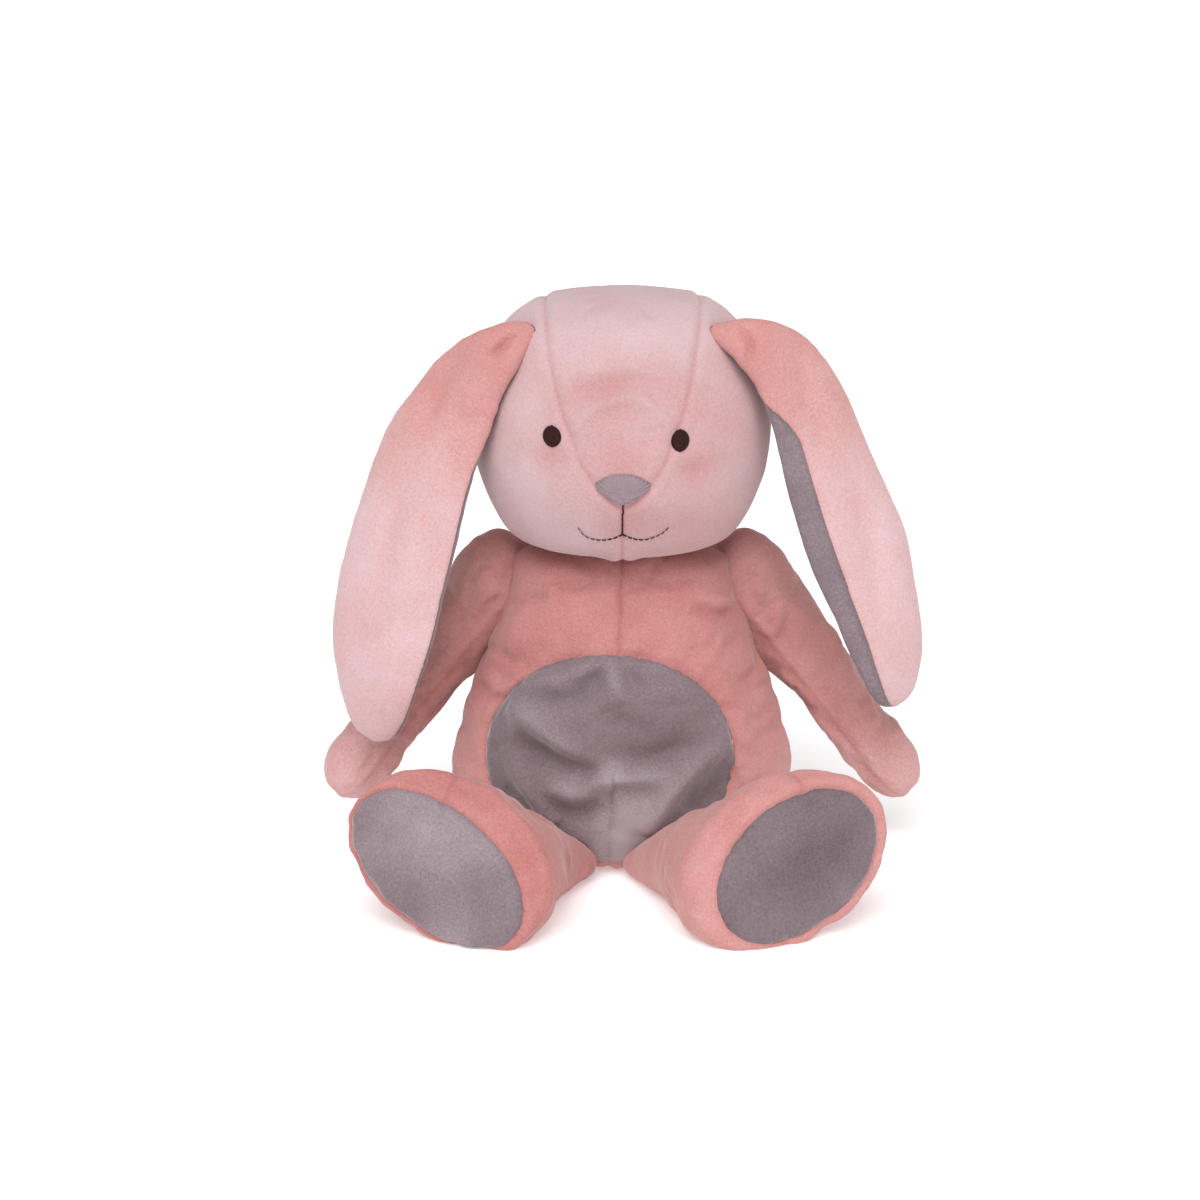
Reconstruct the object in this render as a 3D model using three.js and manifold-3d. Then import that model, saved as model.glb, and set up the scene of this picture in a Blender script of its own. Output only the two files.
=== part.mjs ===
// Seated stuffed bunny: plush panels sewn round stuffing, with drooping lined ears,
// tube arms, splayed legs with oval soles, and embroidered eyes, nose and mouth.
// Millimetres, +Z up, the bunny faces -Y and its own left side is +X.
// The origin is the middle of the seat, on the surface that the bunny sits on.

import * as THREE from 'three';
import { mergeVertices } from 'three/addons/utils/BufferGeometryUtils.js';
import Module from 'manifold-3d';

const wasm = await Module();
wasm.setup();

// ---------------------------------------------------------------- driving dimensions

const CLOTH = 1.6;            // thickness of the plush with its pile pressed
const SEAM_GAP = 0.3;         // clearance between neighbouring solids
const JOINT_GAP = 1.2;        // clearance round a limb's root in its socket
const THREAD = 1.2;           // how far the embroidery stands over its clearance

// Outlines are half-section points, [radius, height or distance along], joined by a spline.
const HEAD = {
  outline: [[0, 148.5], [14, 148.5], [28, 149], [40, 151], [50, 156], [57, 166], [62, 178],
    [65, 190], [66, 202], [64.5, 218], [60, 233], [54, 246], [45, 255.5], [34, 260.5],
    [18, 262.3], [0, 262.5]],
  half: new THREE.Vector3(66, 56, 57),
  middle: 205.5,
  centreY: -10,
  muzzle: { reach: 7, height: 181, spreadX: 25, spreadZ: 19 },
};
const GUSSET = {               // half widths of the centre panel, front and back
  front: [[3, 181], [9, 186], [14, 192], [18.5, 199], [22, 208], [26, 219], [31, 239],
    [34, 258], [34, 280]],
  back: [[20, 135], [28, 165], [34, 205], [35, 240], [34, 258], [34, 280]],
};
const TORSO = {
  outline: [[0, -2], [38, -2], [51, 4], [63, 12], [72, 24], [76.5, 40], [73.5, 60],
    [67.5, 81], [61, 98], [56, 115], [51.5, 129], [43, 139], [26, 144], [0, 145]],
  half: new THREE.Vector3(76.5, 51, 72.5),
  middle: 72.5,
};
const BELLY_PATCH = { halfWidth: 58, halfHeight: 51.5, centreZ: 57 };
const SEAT_PANEL = { halfWidth: 34, halfDepth: 22, height: 2 };
const PELLET_BAG = { halfWidth: 34, halfDepth: 24, halfHeight: 16, middle: 12, cloth: 0.8, mouth: 5 };
const NECK = { centre: new THREE.Vector3(0, -2, 147), radius: 16 };
const TAIL = { centre: new THREE.Vector3(0, 56, 31), radius: 15 };

const EYE = { x: 27.5, z: 208.5, halfWidth: 3.9, halfHeight: 4.6 };
const NOSE = { top: 195.5, bottom: 181.6, halfWidth: 12.6, shoulder: 2 };
const MOUTH = { top: 181, bottom: 165, reach: 20, drop: 2.2, rise: 2.5, line: 1.3 };

const EAR = {
  spine: [[40, -37, 250], [55, -39, 246], [69, -35, 235], [81, -31, 210], [91.5, -31, 176],
    [103, -33, 140], [112, -36, 105], [117, -37, 68]],
  outline: [[0, -6], [8, -3], [10, 4], [14, 18], [19, 36], [23, 60], [26, 94], [26.5, 134],
    [22, 170], [13, 196], [0, 207]],
  across: new THREE.Vector3(0.5, 0.45, 0.75),  // the way from the front edge to the back edge
  meanHalfWidth: 24,
  thicknessRatio: 0.32,
  rootThickness: 0.5,
  rootLength: 40,
  rootRadius: 12,
};
const ARM = {
  root: new THREE.Vector3(55, 11, 129),
  tip: new THREE.Vector3(133.5, 5, 32),
  back: 16,                    // how far the root's rounding reaches behind the root
  lifts: [0, 20, 40],          // degrees of swing that the torso's opening leaves room for
  outline: [[0, -16], [11, -12], [15.5, 0], [15, 20], [14.5, 55], [14.5, 88], [14, 106],
    [11, 119], [0, 125]],
  radius: 15,
};
const LEG = {
  hip: new THREE.Vector3(20, -44, 17.5),
  sole: new THREE.Vector3(78, -117, 36.3),
  soleNormal: new THREE.Vector3(0.3, -0.93, 0.2),
  back: 14,
  lifts: [0, 10, 20],
  outline: [[0, -14], [9, -10.5], [14, 0], [19, 22], [26, 48], [32.5, 70], [34.5, 83],
    [33, 91], [20, 94.5], [0, 95]],
  radius: 26,
  length: 95,
  soleFrom: 89.5,              // distance along the leg where the sole's seam lies
  turnFrom: 10,                // the sections start to turn to the sole's plane here
  toeAngle: 34,                // degrees of the sole's long axis above the horizontal
  longRatio: 1.27,
  shortRatio: 0.87,
};
const EAR_DIVIDER = { overrun: 12, halfWidth: 32, depth: 13, pieces: 16 };
const SIDES = { head: 14, torso: 14, ear: 8, arm: 9, leg: 11, ball: 10, outline: 8 };
const STEPS = { head: 11, torso: 11, ear: 10, arm: 8, leg: 8, ball: 7 };

const COLOURS = {
  pink: 0xd6a09c,
  palePink: 0xdcb0b1,
  grey: 0x968a90,
  noseGrey: 0xafa1a7,
  thread: 0x3a1512,
  filling: 0xf4f2ee,
  liner: 0xe6e2da,
};

const FAR = 400;               // longer than the bunny in any direction
const LIMB_BLOCK = 120;        // wider than any limb

// ---------------------------------------------------------------- geometry helpers

function solidFrom(geometry) {
  const plain = geometry.index ? geometry.toNonIndexed() : geometry.clone();
  plain.deleteAttribute('normal');
  plain.deleteAttribute('uv');
  const merged = mergeVertices(plain, 1e-3);
  const corners = [];
  for (let i = 0; i < merged.index.count; i += 3) {
    const [a, b, c] = [0, 1, 2].map((k) => merged.index.getX(i + k));
    if (a !== b && b !== c && c !== a) corners.push(a, b, c);
  }
  return new wasm.Manifold(new wasm.Mesh({
    numProp: 3,
    vertProperties: Float32Array.from(merged.attributes.position.array),
    triVerts: Uint32Array.from(corners),
  }));
}

function reshape(geometry, move) {
  const position = geometry.attributes.position;
  const point = new THREE.Vector3();
  for (let i = 0; i < position.count; i += 1) {
    point.fromBufferAttribute(position, i);
    move(point);
    position.setXYZ(i, point.x, point.y, point.z);
  }
  return geometry;
}

// A closed form turned about Z from its half outline, shrunk all round by inset.
function turned(outline, inset, half, middle, sides, steps) {
  const curve = new THREE.SplineCurve(outline.map(([r, along]) => new THREE.Vector2(r, along)));
  const points = curve.getPoints(steps);
  points.forEach((p) => p.setX(Math.max(p.x, 0)));
  points[0].x = 0;
  points[points.length - 1].x = 0;
  const geometry = new THREE.LatheGeometry(points, sides);
  geometry.rotateX(Math.PI / 2);
  const shrink = new THREE.Vector3(1 - inset / half.x, 1 - inset / half.y, 1 - inset / half.z);
  return reshape(geometry, (p) => {
    p.x *= shrink.x;
    p.y *= shrink.y;
    p.z = middle + (p.z - middle) * shrink.z;
  });
}

// The inside of an outline drawn in X and Z, run along Y from one depth to another.
function prismAlongY(shape, fromY, toY) {
  const geometry = new THREE.ExtrudeGeometry(shape, {
    depth: toY - fromY, bevelEnabled: false, curveSegments: SIDES.outline, steps: 1,
  });
  geometry.rotateX(Math.PI / 2);
  geometry.translate(0, toY, 0);
  return solidFrom(geometry);
}

function box(low, high) {
  const geometry = new THREE.BoxGeometry(high[0] - low[0], high[1] - low[1], high[2] - low[2]);
  geometry.translate((high[0] + low[0]) / 2, (high[1] + low[1]) / 2, (high[2] + low[2]) / 2);
  return solidFrom(geometry);
}

function ball(centre, radius) {
  const geometry = new THREE.SphereGeometry(radius, SIDES.ball, STEPS.ball);
  geometry.translate(centre.x, centre.y, centre.z);
  return solidFrom(geometry);
}

function ellipse(centreX, centreZ, halfWidth, halfHeight) {
  const shape = new THREE.Shape();
  shape.absellipse(centreX, centreZ, halfWidth, halfHeight, 0, Math.PI * 2);
  return shape;
}

function mirrored(geometry) {
  const other = geometry.clone();
  other.scale(-1, 1, 1);
  for (let i = 0; i < other.index.count; i += 3) {
    const first = other.index.getX(i);
    other.index.setX(i, other.index.getX(i + 1));
    other.index.setX(i + 1, first);
  }
  return other;
}

// ---------------------------------------------------------------- the scene graph

const bunny = new THREE.Group();

function geometryOf(solid) {
  const mesh = solid.getMesh();
  const geometry = new THREE.BufferGeometry();
  const points = [];
  for (let i = 0; i < mesh.vertProperties.length; i += mesh.numProp) {
    points.push(mesh.vertProperties[i], mesh.vertProperties[i + 1], mesh.vertProperties[i + 2]);
  }
  geometry.setAttribute('position', new THREE.Float32BufferAttribute(points, 3));
  geometry.setIndex(Array.from(mesh.triVerts));
  return geometry;
}

function addPiece(name, geometry, colour) {
  const material = new THREE.MeshStandardMaterial({ color: colour, roughness: 0.95, metalness: 0 });
  const mesh = new THREE.Mesh(geometry, material);
  mesh.name = name;
  bunny.add(mesh);
}

function add(name, solid, colour) {
  addPiece(name, geometryOf(solid), colour);
}

// Adds left_NAME as built, on +X, and right_NAME as its mirror image.
function addPair(name, solid, colour) {
  const geometry = geometryOf(solid);
  addPiece(`left_${name}`, geometry, colour);
  addPiece(`right_${name}`, mirrored(geometry), colour);
}

// The plush shell of a form and the stuffing inside it.
function skinAndCore(form) {
  return {
    skin: form(0).subtract(form(CLOTH)),
    core: form(CLOTH + SEAM_GAP),
  };
}

// Splits a solid at a plane across an axis, leaving a seam gap: [low side, high side].
function splitAt(solid, axis, at) {
  const corner = (value) => [0, 1, 2].map((k) => (k === axis ? value : -FAR));
  const other = (value) => [0, 1, 2].map((k) => (k === axis ? value : FAR));
  return [
    solid.intersect(box(corner(-FAR), other(at - SEAM_GAP / 2))),
    solid.intersect(box(corner(at + SEAM_GAP / 2), other(FAR))),
  ];
}

// ---------------------------------------------------------------- forms

function headForm(inset) {
  const { outline, half, middle, muzzle, centreY } = HEAD;
  const geometry = turned(outline, inset, half, middle, SIDES.head, STEPS.head);
  const depthRatio = half.y / half.x;
  return solidFrom(reshape(geometry, (p) => {
    const facing = Math.max(0, -p.y / half.x);
    const across = (p.x / muzzle.spreadX) ** 2;
    const up = ((p.z - muzzle.height) / muzzle.spreadZ) ** 2;
    p.y = p.y * depthRatio - muzzle.reach * facing * Math.exp(-across - up) + centreY;
  }));
}

function torsoForm(inset) {
  const { outline, half, middle } = TORSO;
  const geometry = turned(outline, inset, half, middle, SIDES.torso, STEPS.torso);
  return solidFrom(reshape(geometry, (p) => {
    p.y *= half.y / half.x;
    p.z = Math.max(p.z, inset);
  }));
}

// Lays a form that is straight along Z from a root towards a tip, with its X towards sideways.
function placeAlong(geometry, root, tip, sideways) {
  const along = tip.clone().sub(root).normalize();
  const side = sideways.clone().addScaledVector(along, -sideways.dot(along)).normalize();
  const third = along.clone().cross(side);
  return geometry.applyMatrix4(new THREE.Matrix4().makeBasis(side, third, along).setPosition(root));
}

function armForm(inset) {
  const reach = ARM.root.distanceTo(ARM.tip);
  const half = new THREE.Vector3(ARM.radius, ARM.radius, (reach + ARM.back) / 2);
  const middle = (reach - ARM.back) / 2;
  const geometry = turned(ARM.outline, inset, half, middle, SIDES.arm, STEPS.arm);
  return solidFrom(placeAlong(geometry, ARM.root, ARM.tip, new THREE.Vector3(0, 1, 0)));
}

// A leg's sections turn from square to the leg at the hip to the sole's own plane.
function legForm(inset) {
  const half = new THREE.Vector3(LEG.radius, LEG.radius, (LEG.length + LEG.back) / 2);
  const middle = (LEG.length - LEG.back) / 2;
  const geometry = turned(LEG.outline, inset, half, middle, SIDES.leg, STEPS.leg);
  const along = LEG.sole.clone().sub(LEG.hip).normalize();
  const toe = THREE.MathUtils.degToRad(LEG.toeAngle);
  const toeWay = new THREE.Vector3(Math.cos(toe), 0, Math.sin(toe));
  return solidFrom(reshape(geometry, (p) => {
    const grown = THREE.MathUtils.smoothstep(p.z, LEG.turnFrom, LEG.length - LEG.turnFrom);
    const normal = along.clone().lerp(LEG.soleNormal, grown).normalize();
    const long = toeWay.clone().addScaledVector(normal, -toeWay.dot(normal)).normalize();
    const short = normal.clone().cross(long);
    const { x, y, z } = p;
    p.copy(LEG.hip).addScaledVector(along, z);
    p.addScaledVector(long, x * THREE.MathUtils.lerp(1, LEG.longRatio, grown));
    p.addScaledVector(short, y * THREE.MathUtils.lerp(1, LEG.shortRatio, grown));
  }));
}

const earSpine = new THREE.CatmullRomCurve3(EAR.spine.map((p) => new THREE.Vector3(...p)));

// The middle of the ear at a share of its length, with the ways along, across and out of it.
function earSection(share) {
  const tangent = earSpine.getTangentAt(share);
  const wide = EAR.across.clone().addScaledVector(tangent, -EAR.across.dot(tangent)).normalize();
  return { centre: earSpine.getPointAt(share), tangent, wide, flat: tangent.clone().cross(wide) };
}

// The ear is a flat leaf bent along its drooping spine.
function earForm(inset) {
  const { outline, meanHalfWidth, thicknessRatio, rootThickness, rootLength } = EAR;
  const reach = outline[outline.length - 1][1];
  const half = new THREE.Vector3(meanHalfWidth, meanHalfWidth, reach / 2);
  const geometry = turned(outline, inset, half, reach / 2, SIDES.ear, STEPS.ear);
  const thin = (1 - inset / (meanHalfWidth * thicknessRatio)) / (1 - inset / meanHalfWidth);
  return solidFrom(reshape(geometry, (p) => {
    const share = THREE.MathUtils.clamp(p.z / reach, 0, 1);
    const { centre, tangent, wide, flat } = earSection(share);
    const open = THREE.MathUtils.smoothstep(p.z, 0, rootLength);
    const ratio = THREE.MathUtils.lerp(rootThickness, thicknessRatio, open) * thin;
    const { x, y, z } = p;
    p.copy(centre).addScaledVector(tangent, z - share * reach);
    p.addScaledVector(wide, x).addScaledVector(flat, y * ratio);
  }));
}

// ---------------------------------------------------------------- head

const earSocket = ball(new THREE.Vector3(...EAR.spine[0]), EAR.rootRadius + JOINT_GAP);
const earSocketMirrored = solidFrom(mirrored(geometryOf(earSocket)));
const neckSocket = ball(NECK.centre, NECK.radius + JOINT_GAP);

function gussetOutline(halfWidths, grow) {
  const side = new THREE.SplineCurve(halfWidths.map(([x, z]) => new THREE.Vector2(x + grow, z)));
  const points = side.getPoints(2 * SIDES.outline);
  const shape = new THREE.Shape(points);
  points.reverse().forEach((p) => shape.lineTo(-p.x, p.y));
  shape.closePath();
  return shape;
}

function gussetRegion(grow) {
  return prismAlongY(gussetOutline(GUSSET.front, grow), -FAR, HEAD.centreY)
    .add(prismAlongY(gussetOutline(GUSSET.back, grow), HEAD.centreY, FAR));
}

function buildHead() {
  const carve = (solid) => solid.subtract(earSocket).subtract(earSocketMirrored).subtract(neckSocket);
  const { skin, core } = skinAndCore(headForm);
  const shell = carve(skin);
  add('head_gusset_panel', shell.intersect(gussetRegion(0)), COLOURS.palePink);
  const sides = splitAt(shell.subtract(gussetRegion(SEAM_GAP)), 0, 0);
  add('head_right_panel', sides[0], COLOURS.palePink);
  add('head_left_panel', sides[1], COLOURS.palePink);
  add('head_stuffing', carve(core), COLOURS.filling);
}

// Thread worked over the head's surface inside an outline drawn in X and Z.
function embroidery(shape) {
  const layer = headForm(-SEAM_GAP - THREAD).subtract(headForm(-SEAM_GAP));
  return layer.intersect(prismAlongY(shape, -FAR, HEAD.centreY));
}

function noseOutline() {
  const shape = new THREE.Shape();
  const { top, bottom, halfWidth, shoulder } = NOSE;
  shape.moveTo(-halfWidth, top - shoulder);
  shape.quadraticCurveTo(0, top + shoulder, halfWidth, top - shoulder);
  shape.bezierCurveTo(halfWidth, bottom + shoulder, halfWidth / 2, bottom, 0, bottom);
  shape.bezierCurveTo(-halfWidth / 2, bottom, -halfWidth, bottom + shoulder, -halfWidth, top - shoulder);
  return shape;
}

// The mouth is one bent line of thread: down from the nose, then out to both sides.
function mouthOutline() {
  const { top, bottom, reach, drop, rise, line } = MOUTH;
  const shape = new THREE.Shape();
  shape.moveTo(-line / 2, top);
  shape.lineTo(line / 2, top);
  shape.lineTo(line / 2, bottom + line);
  shape.quadraticCurveTo(reach * 0.6, bottom - drop + line, reach, bottom + rise + line);
  shape.lineTo(reach + line, bottom + rise);
  shape.quadraticCurveTo(reach * 0.6, bottom - drop - line, 0, bottom);
  shape.quadraticCurveTo(-reach * 0.6, bottom - drop - line, -reach - line, bottom + rise);
  shape.lineTo(-reach, bottom + rise + line);
  shape.quadraticCurveTo(-reach * 0.6, bottom - drop + line, -line / 2, bottom + line);
  shape.closePath();
  return shape;
}

function buildFace() {
  addPair('eye', embroidery(ellipse(EYE.x, EYE.z, EYE.halfWidth, EYE.halfHeight)), COLOURS.thread);
  add('nose', embroidery(noseOutline()), COLOURS.noseGrey);
  add('mouth_stitching', embroidery(mouthOutline()), COLOURS.thread);
}

// ---------------------------------------------------------------- ears

// A block on the outer side of the ear's spine that parts its outer cloth from its lining.
function earDivider(inset) {
  const { overrun, halfWidth, depth, pieces } = EAR_DIVIDER;
  const geometry = new THREE.BoxGeometry(1, 1, 1, 1, 1, pieces);
  return solidFrom(reshape(geometry, (p) => {
    const share = p.z + 1 / 2;
    const { centre, tangent, wide, flat } = earSection(share);
    const beyond = share === 0 ? -overrun : (share === 1 ? overrun : 0);
    const across = p.x * 2 * halfWidth;
    const through = p.y > 0 ? depth : inset;
    p.copy(centre).addScaledVector(tangent, beyond);
    p.addScaledVector(wide, across).addScaledVector(flat, through);
  }));
}

function buildEars() {
  const { skin, core } = skinAndCore(earForm);
  addPair('ear_outer_panel', skin.intersect(earDivider(0)), COLOURS.pink);
  addPair('ear_lining', skin.subtract(earDivider(-SEAM_GAP)), COLOURS.grey);
  addPair('ear_filling', core, COLOURS.filling);
}

// ---------------------------------------------------------------- torso

// The room a limb needs: its round root, and the limb itself at each given lift.
function limbRoom(form, root, back, axis, lifts) {
  const places = lifts.map((degrees) => {
    const geometry = geometryOf(form(-JOINT_GAP));
    geometry.translate(-root.x, -root.y, -root.z);
    geometry.applyMatrix4(new THREE.Matrix4().makeRotationAxis(axis, THREE.MathUtils.degToRad(degrees)));
    geometry.translate(root.x, root.y, root.z);
    return solidFrom(geometry);
  });
  return places.reduce((all, place) => all.add(place), ball(root, back + JOINT_GAP));
}

const armSocket = limbRoom(armForm, ARM.root, ARM.back, new THREE.Vector3(0, -1, 0), ARM.lifts);
const legSocket = limbRoom(legForm, LEG.hip, LEG.back, new THREE.Vector3(-1, 0, 0), LEG.lifts);

function carveTorso(solid) {
  const sockets = [armSocket, legSocket];
  sockets.push(...sockets.map((socket) => solidFrom(mirrored(geometryOf(socket)))));
  sockets.push(neckSocket);
  return sockets.reduce((left, socket) => left.subtract(socket), solid);
}

function seatRegion(grow) {
  const geometry = new THREE.CylinderGeometry(1, 1, 1, 2 * SIDES.outline);
  geometry.rotateX(Math.PI / 2);
  const height = SEAT_PANEL.height + grow;
  geometry.scale(SEAT_PANEL.halfWidth + grow, SEAT_PANEL.halfDepth + grow, 2 * height);
  return solidFrom(geometry);
}

function buildTorso() {
  const { skin, core } = skinAndCore(torsoForm);
  const shell = carveTorso(skin);
  add('seat_panel', shell.intersect(seatRegion(0)), COLOURS.pink);
  const walls = shell.subtract(seatRegion(SEAM_GAP));
  const [front, back] = splitAt(walls, 1, 0);
  const patch = (grow) => prismAlongY(ellipse(
    0, BELLY_PATCH.centreZ, BELLY_PATCH.halfWidth + grow, BELLY_PATCH.halfHeight + grow), -FAR, FAR);
  const patchHalves = splitAt(front.intersect(patch(0)), 0, 0);
  const frontHalves = splitAt(front.subtract(patch(SEAM_GAP)), 0, 0);
  const backHalves = splitAt(back, 0, 0);
  ['right', 'left'].forEach((side, k) => {
    add(`torso_front_${side}_panel`, frontHalves[k], COLOURS.pink);
    add(`torso_back_${side}_panel`, backHalves[k], COLOURS.pink);
    add(`belly_patch_${side}_panel`, patchHalves[k], COLOURS.grey);
  });
  const innerFloor = CLOTH + 2 * SEAM_GAP;
  add('torso_stuffing', carveTorso(core).subtract(pelletBag(-SEAM_GAP, CLOTH)), COLOURS.filling);
  const mouth = ball(new THREE.Vector3(0, 0, PELLET_BAG.middle + PELLET_BAG.halfHeight),
    PELLET_BAG.mouth);
  const liner = pelletBag(0, innerFloor).subtract(pelletBag(PELLET_BAG.cloth, innerFloor + PELLET_BAG.cloth));
  add('pellet_bag', liner.subtract(mouth), COLOURS.liner);
  const pellets = PELLET_BAG.cloth + SEAM_GAP;
  add('seat_pellets', pelletBag(pellets, innerFloor + pellets), COLOURS.filling);
}

// The bag lies flat on the seat, so its round form stops at the floor height.
function pelletBag(inset, floor) {
  const { halfWidth, halfDepth, halfHeight, middle } = PELLET_BAG;
  const geometry = new THREE.SphereGeometry(1, SIDES.ball, STEPS.ball);
  geometry.rotateX(Math.PI / 2);
  geometry.scale(halfWidth - inset, halfDepth - inset, halfHeight - inset);
  geometry.translate(0, 0, middle);
  return solidFrom(reshape(geometry, (p) => { p.z = Math.max(p.z, floor); }));
}

function buildNeck() {
  add('neck_stuffing', ball(NECK.centre, NECK.radius), COLOURS.filling);
}

function buildTail() {
  const against = torsoForm(-SEAM_GAP);
  const tail = ball(TAIL.centre, TAIL.radius).subtract(against);
  const inside = ball(TAIL.centre, TAIL.radius - CLOTH);
  add('tail_panel', tail.subtract(inside), COLOURS.pink);
  const stuffing = ball(TAIL.centre, TAIL.radius - CLOTH - SEAM_GAP);
  add('tail_stuffing', stuffing.subtract(against), COLOURS.filling);
}

// ---------------------------------------------------------------- limbs

// Parts a limb's skin along its length, into the half towards side and the other half.
function halves(skin, root, tip, side) {
  const length = 2 * root.distanceTo(tip);
  const place = (gap) => {
    const geometry = new THREE.BoxGeometry(LIMB_BLOCK, LIMB_BLOCK, length);
    geometry.translate(LIMB_BLOCK / 2 + gap, 0, length / 4);
    return solidFrom(placeAlong(geometry, root, tip, side));
  };
  return [skin.intersect(place(SEAM_GAP / 2)), skin.subtract(place(-SEAM_GAP / 2))];
}

function buildArms() {
  const { skin, core } = skinAndCore(armForm);
  const [outer, inner] = halves(skin, ARM.root, ARM.tip, new THREE.Vector3(1, 0, 1));
  addPair('arm_outer_panel', outer, COLOURS.pink);
  addPair('arm_inner_panel', inner, COLOURS.pink);
  addPair('arm_stuffing', core, COLOURS.filling);
}

function buildLegs() {
  const { skin, core } = skinAndCore(legForm);
  const outwards = new THREE.Vector3(1, 0, 0);
  const seam = LEG.hip.clone().lerp(LEG.sole, LEG.soleFrom / LEG.length);
  const cap = (gap) => {
    const geometry = new THREE.BoxGeometry(LIMB_BLOCK, LIMB_BLOCK, LIMB_BLOCK);
    geometry.translate(0, 0, LIMB_BLOCK / 2 + gap);
    return solidFrom(placeAlong(geometry, seam, seam.clone().add(LEG.soleNormal), outwards));
  };
  addPair('leg_sole', skin.intersect(cap(SEAM_GAP / 2)), COLOURS.grey);
  const tube = skin.subtract(cap(-SEAM_GAP / 2));
  const [outer, inner] = halves(tube, LEG.hip, LEG.sole, outwards);
  addPair('leg_outer_panel', outer, COLOURS.pink);
  addPair('leg_inner_panel', inner, COLOURS.pink);
  addPair('leg_stuffing', core, COLOURS.filling);
}

buildHead();
buildFace();
buildEars();
buildNeck();
buildTorso();
buildTail();
buildArms();
buildLegs();

export default bunny;
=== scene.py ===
"""A seated stuffed bunny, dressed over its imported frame: plush covers with sewn seams and folds,
a lined pair of drooping ears, and an embroidered face. Lengths are in millimetres until they
become mesh points, which are in metres. The bunny faces -Y, and its own left side is +X."""

import math

import bmesh
import bpy
import numpy as np
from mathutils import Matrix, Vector, noise
from mathutils.bvhtree import BVHTree
from mathutils.kdtree import KDTree


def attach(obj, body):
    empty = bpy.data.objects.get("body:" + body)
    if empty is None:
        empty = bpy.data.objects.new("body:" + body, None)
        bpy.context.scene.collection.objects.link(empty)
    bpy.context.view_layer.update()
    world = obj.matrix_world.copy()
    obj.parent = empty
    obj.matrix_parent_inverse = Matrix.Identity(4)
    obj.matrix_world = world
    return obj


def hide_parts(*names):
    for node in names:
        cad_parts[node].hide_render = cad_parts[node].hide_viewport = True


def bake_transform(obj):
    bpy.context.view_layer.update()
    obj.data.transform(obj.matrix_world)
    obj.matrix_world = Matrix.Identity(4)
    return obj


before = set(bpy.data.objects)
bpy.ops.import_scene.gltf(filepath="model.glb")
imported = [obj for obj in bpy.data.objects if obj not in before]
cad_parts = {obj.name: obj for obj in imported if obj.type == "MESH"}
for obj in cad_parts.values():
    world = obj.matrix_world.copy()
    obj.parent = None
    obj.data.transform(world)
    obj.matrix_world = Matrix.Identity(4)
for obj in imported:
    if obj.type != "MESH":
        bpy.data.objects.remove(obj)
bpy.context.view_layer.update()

# ---------------------------------------------------------------- driving dimensions

MM = 0.001
TINY = 1e-9
GRID = 3.0                     # spacing of a cover's points before they are subdivided
LIMB_GRID = 2.4                # and of the points of the arms, legs, ears, neck and tail
CURVE_STEPS = 32               # steps along a curve between two of its given points
FINE = 1.0                     # spacing along a seam's or a fold's curve, and along an ear's spine
CLOTH = 1.6                    # thickness of the plush
SNAP = 0.22                    # a point this near a seam, as a share of its edge, moves onto it
SEAM_SAMPLES = 5               # points kept along each edge of a seam
ELSEWHERE = 30                 # the distance given to places on the side that a seam doesn't reach

# Half outlines are [radius, height or distance along] points.
HEAD = {
    "outline": [
        (0, 148.5), (14, 148.5), (28, 149), (40, 151), (50, 156), (57, 166), (62, 178), (65, 190),
        (66, 202), (64.5, 218), (60, 233), (54, 246), (45, 255.5), (34, 260.5), (18, 262.3), (0, 262.5),
    ],
    "half_width": 66,
    "half_depth": 56,
    "centre_y": -10,
    "muzzle": {"reach": 7, "height": 181, "spread_x": 25, "spread_z": 19},
    "chin": {"drop": 3.5, "height": 156, "spread_x": 9, "spread_z": 8},
}
GUSSET_FRONT = [
    (-20, 159), (0, 179), (3, 181), (9, 186), (14, 192), (18.5, 199), (22, 208), (26, 219), (31, 239),
    (34, 258), (34, 280),
]
GUSSET_BACK = [(20, 135), (28, 165), (34, 205), (35, 240), (34, 258), (34, 280)]
CHIN_TOP = 181                 # where the two cheek panels start to meet, under the nose

TORSO = {
    "outline": [
        (0, 0), (36, 0), (51, 4), (63, 12), (72, 24), (76.5, 40), (73.5, 60), (67.5, 81), (61, 98),
        (56, 115), (52, 130), (47, 141), (34, 147), (18, 148), (0, 148),
    ],
    "depth_ratio": 51 / 76.5,
    "seam_lean": -6,           # the centre seam leans this far to the bunny's right, down to the seat
    "flat_to": 1,              # the underside rests on the floor below this height
}
BELLY_PATCH = {
    "half_width": 56.5,
    "half_height": 49.5,
    "centre_x": -5.5,
    "centre_z": 55.5,
    "seam_top": 53.5,          # its two lower cloths are sewn together up to this height
    "seam_margin": 1,          # and from this far inside the patch's edge
}
SEAT_PANEL = {"half_width": 34, "half_depth": 22, "below": 2}
NECK = {"centre": (0, 0, 147), "radius": 20, "squeeze": 0.7}
TAIL = {"centre": (0, 56, 31), "radius": 15}

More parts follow.
